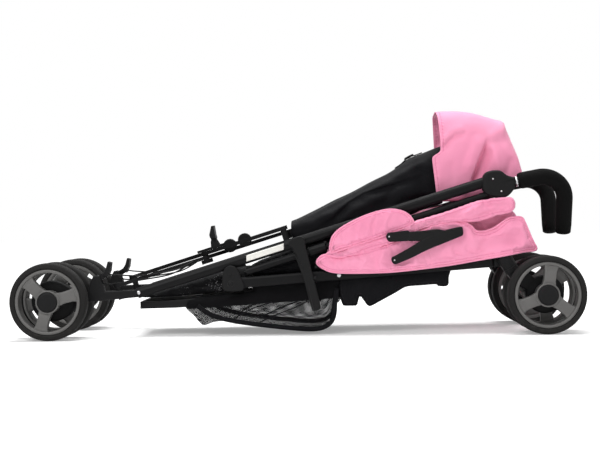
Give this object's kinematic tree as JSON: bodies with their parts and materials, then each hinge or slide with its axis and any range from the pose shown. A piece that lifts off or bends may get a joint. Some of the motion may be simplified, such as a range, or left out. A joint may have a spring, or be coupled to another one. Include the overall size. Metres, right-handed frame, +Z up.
{
  "type": "folding stroller",
  "caption": "Folding stroller shown folded, lying on its double wheels, with a pink hood, padded seat, crossed rear brace, pedals, mesh basket and hooked foam grips.",
  "frame": {"origin": "on the floor, under the middle of the folded stroller's bounding box", "axes": "+X along the bundle towards the handles and front wheels, +Y across it, +Z up from the floor it lies on"},
  "size_m": [1.104, 0.316, 0.4428],
  "materials": {
    "tyre": "matt",
    "rim": "satin",
    "frame": "satin",
    "axle": "satin",
    "foam": "matt",
    "plastic": "satin",
    "pink_fabric": "woven",
    "black_fabric": "woven",
    "mesh_fabric": "open mesh"
  },
  "bodies": {
    "fabric": {"backrest_cover": "black_fabric", "seat_pad": "pink_fabric", "under_cover": "black_fabric", "basket": "mesh_fabric", "basket_board": "plastic"},
    "hood": {"hood": "pink_fabric"},
    "brace_hub": {"brace_hub": "plastic"},
    "fold_pedal": {"fold_pedal": "plastic"},
    "near_frame": {"main_tube_near": "frame", "seat_tube_near": "frame", "hip_bracket_near": "plastic", "rear_fork_near": "plastic", "rear_axle_near": "axle", "handle_hinge_near": "plastic", "side_wing_near": "pink_fabric", "seat_side_near": "pink_fabric", "seat_bracket_near": "plastic"},
    "near_brace_bar": {"brace_bar_near": "frame"},
    "near_front_leg": {"front_leg_near": "frame", "caster_socket_near": "plastic"},
    "near_caster": {"caster_fork_near": "plastic", "front_axle_near": "axle"},
    "near_handle": {"handle_tube_near": "frame", "handle_grip_near": "foam"},
    "near_latch": {"storage_latch_near": "plastic"},
    "near_brake_pedal": {"brake_pedal_near": "plastic"},
    "rear_near_outer_wheel": {"tyre_rear_near_outer": "tyre", "rim_rear_near_outer": "rim"},
    "rear_near_inner_wheel": {"tyre_rear_near_inner": "tyre", "rim_rear_near_inner": "rim"},
    "front_near_outer_wheel": {"tyre_front_near_outer": "tyre", "rim_front_near_outer": "rim"},
    "front_near_inner_wheel": {"tyre_front_near_inner": "tyre", "rim_front_near_inner": "rim"},
    "far_frame": {"main_tube_far": "frame", "seat_tube_far": "frame", "hip_bracket_far": "plastic", "rear_fork_far": "plastic", "rear_axle_far": "axle", "handle_hinge_far": "plastic", "side_wing_far": "pink_fabric", "seat_side_far": "pink_fabric", "seat_bracket_far": "plastic"},
    "far_brace_bar": {"brace_bar_far": "frame"},
    "far_front_leg": {"front_leg_far": "frame", "caster_socket_far": "plastic"},
    "far_caster": {"caster_fork_far": "plastic", "front_axle_far": "axle"},
    "far_handle": {"handle_tube_far": "frame", "handle_grip_far": "foam"},
    "far_latch": {"storage_latch_far": "plastic"},
    "far_brake_pedal": {"brake_pedal_far": "plastic"},
    "rear_far_outer_wheel": {"tyre_rear_far_outer": "tyre", "rim_rear_far_outer": "rim"},
    "rear_far_inner_wheel": {"tyre_rear_far_inner": "tyre", "rim_rear_far_inner": "rim"},
    "front_far_outer_wheel": {"tyre_front_far_outer": "tyre", "rim_front_far_outer": "rim"},
    "front_far_inner_wheel": {"tyre_front_far_inner": "tyre", "rim_front_far_inner": "rim"}
  },
  "joints": [
    {"name": "near_leg_fold", "type": "hinge", "parent": "near_frame", "child": "near_front_leg", "pos_m": [-0.128, -0.1, 0.103], "axis": [0, 1, 0], "range_deg": [0, 115]},
    {"name": "far_leg_fold", "type": "hinge", "parent": "far_frame", "child": "far_front_leg", "pos_m": [-0.128, 0.1, 0.103], "axis": [0, 1, 0], "range_deg": [0, 115]},
    {"name": "near_frame_spread", "type": "slide", "parent": "fabric", "child": "near_frame", "axis": [0, -1, 0], "range_m": [0, 0.0708]},
    {"name": "far_frame_spread", "type": "slide", "parent": "fabric", "child": "far_frame", "axis": [0, 1, 0], "range_m": [0, 0.0708]},
    {"name": "brace_slide", "type": "slide", "parent": "fabric", "child": "brace_hub", "axis": [-0.9573, 0, -0.289], "range_m": [0, 0.0666]},
    {"name": "near_bar_turn", "type": "hinge", "parent": "brace_hub", "child": "near_brace_bar", "pos_m": [-0.18856, 0, 0.15561], "axis": [-0.289, 0, 0.9573], "range_deg": [0, 28.6]},
    {"name": "far_bar_turn", "type": "hinge", "parent": "brace_hub", "child": "far_brace_bar", "pos_m": [-0.18856, 0, 0.15561], "axis": [-0.289, 0, 0.9573], "range_deg": [-28.6, 0]},
    {"name": "fold_pedal_turn", "type": "hinge", "parent": "brace_hub", "child": "fold_pedal", "pos_m": [-0.16983, 0, 0.18351], "axis": [0, 1, 0], "range_deg": [0, 25]},
    {"name": "hood_tilt", "type": "hinge", "parent": "fabric", "child": "hood", "pos_m": [0.33, 0, 0.28083], "axis": [0, -1, 0], "range_deg": [0, 10]},
    {"name": "near_caster_swivel", "type": "hinge", "parent": "near_front_leg", "child": "near_caster", "pos_m": [0.41253, -0.11, 0.12662], "axis": [0.5225, 0, -0.8526], "continuous": true},
    {"name": "near_handle_turn", "type": "hinge", "parent": "near_frame", "child": "near_handle", "pos_m": [0.4256, -0.1, 0.292], "axis": [-0.9842, 0, -0.1771], "range_deg": [0, 180]},
    {"name": "near_latch_swing", "type": "hinge", "parent": "near_frame", "child": "near_latch", "pos_m": [0.002, -0.12, 0.1818], "axis": [0, 1, 0], "range_deg": [0, 60]},
    {"name": "near_brake_press", "type": "hinge", "parent": "near_frame", "child": "near_brake_pedal", "pos_m": [-0.39, -0.105, 0.116], "axis": [0, -1, 0], "range_deg": [0, 18]},
    {"name": "rear_near_outer_spin", "type": "hinge", "parent": "near_frame", "child": "rear_near_outer_wheel", "pos_m": [-0.477, -0.14, 0.075], "axis": [0, 1, 0], "continuous": true},
    {"name": "rear_near_inner_spin", "type": "hinge", "parent": "near_frame", "child": "rear_near_inner_wheel", "pos_m": [-0.477, -0.08, 0.075], "axis": [0, 1, 0], "continuous": true},
    {"name": "front_near_outer_spin", "type": "hinge", "parent": "near_caster", "child": "front_near_outer_wheel", "pos_m": [0.477, -0.14, 0.075], "axis": [0, 1, 0], "continuous": true},
    {"name": "front_near_inner_spin", "type": "hinge", "parent": "near_caster", "child": "front_near_inner_wheel", "pos_m": [0.477, -0.08, 0.075], "axis": [0, 1, 0], "continuous": true},
    {"name": "far_caster_swivel", "type": "hinge", "parent": "far_front_leg", "child": "far_caster", "pos_m": [0.41253, 0.11, 0.12662], "axis": [0.5225, 0, -0.8526], "continuous": true},
    {"name": "far_handle_turn", "type": "hinge", "parent": "far_frame", "child": "far_handle", "pos_m": [0.4256, 0.1, 0.292], "axis": [0.9842, 0, 0.1771], "range_deg": [0, 180]},
    {"name": "far_latch_swing", "type": "hinge", "parent": "far_frame", "child": "far_latch", "pos_m": [0.002, 0.12, 0.1818], "axis": [0, 1, 0], "range_deg": [0, 60]},
    {"name": "far_brake_press", "type": "hinge", "parent": "far_frame", "child": "far_brake_pedal", "pos_m": [-0.39, 0.105, 0.116], "axis": [0, -1, 0], "range_deg": [0, 18]},
    {"name": "rear_far_outer_spin", "type": "hinge", "parent": "far_frame", "child": "rear_far_outer_wheel", "pos_m": [-0.477, 0.14, 0.075], "axis": [0, 1, 0], "continuous": true},
    {"name": "rear_far_inner_spin", "type": "hinge", "parent": "far_frame", "child": "rear_far_inner_wheel", "pos_m": [-0.477, 0.08, 0.075], "axis": [0, 1, 0], "continuous": true},
    {"name": "front_far_outer_spin", "type": "hinge", "parent": "far_caster", "child": "front_far_outer_wheel", "pos_m": [0.477, 0.14, 0.075], "axis": [0, 1, 0], "continuous": true},
    {"name": "front_far_inner_spin", "type": "hinge", "parent": "far_caster", "child": "front_far_inner_wheel", "pos_m": [0.477, 0.08, 0.075], "axis": [0, 1, 0], "continuous": true}
  ],
  "couplings": [
    {"joint": "near_frame_spread", "follows": "near_leg_fold", "m_per_rad": 0.035016},
    {"joint": "far_frame_spread", "follows": "near_leg_fold", "m_per_rad": 0.035016},
    {"joint": "far_leg_fold", "follows": "near_leg_fold", "ratio": 1},
    {"joint": "brace_slide", "follows": "near_leg_fold", "m_per_rad": 0.03294},
    {"joint": "near_bar_turn", "follows": "near_leg_fold", "ratio": 0.24783},
    {"joint": "far_bar_turn", "follows": "near_leg_fold", "ratio": -0.24783}
  ]
}
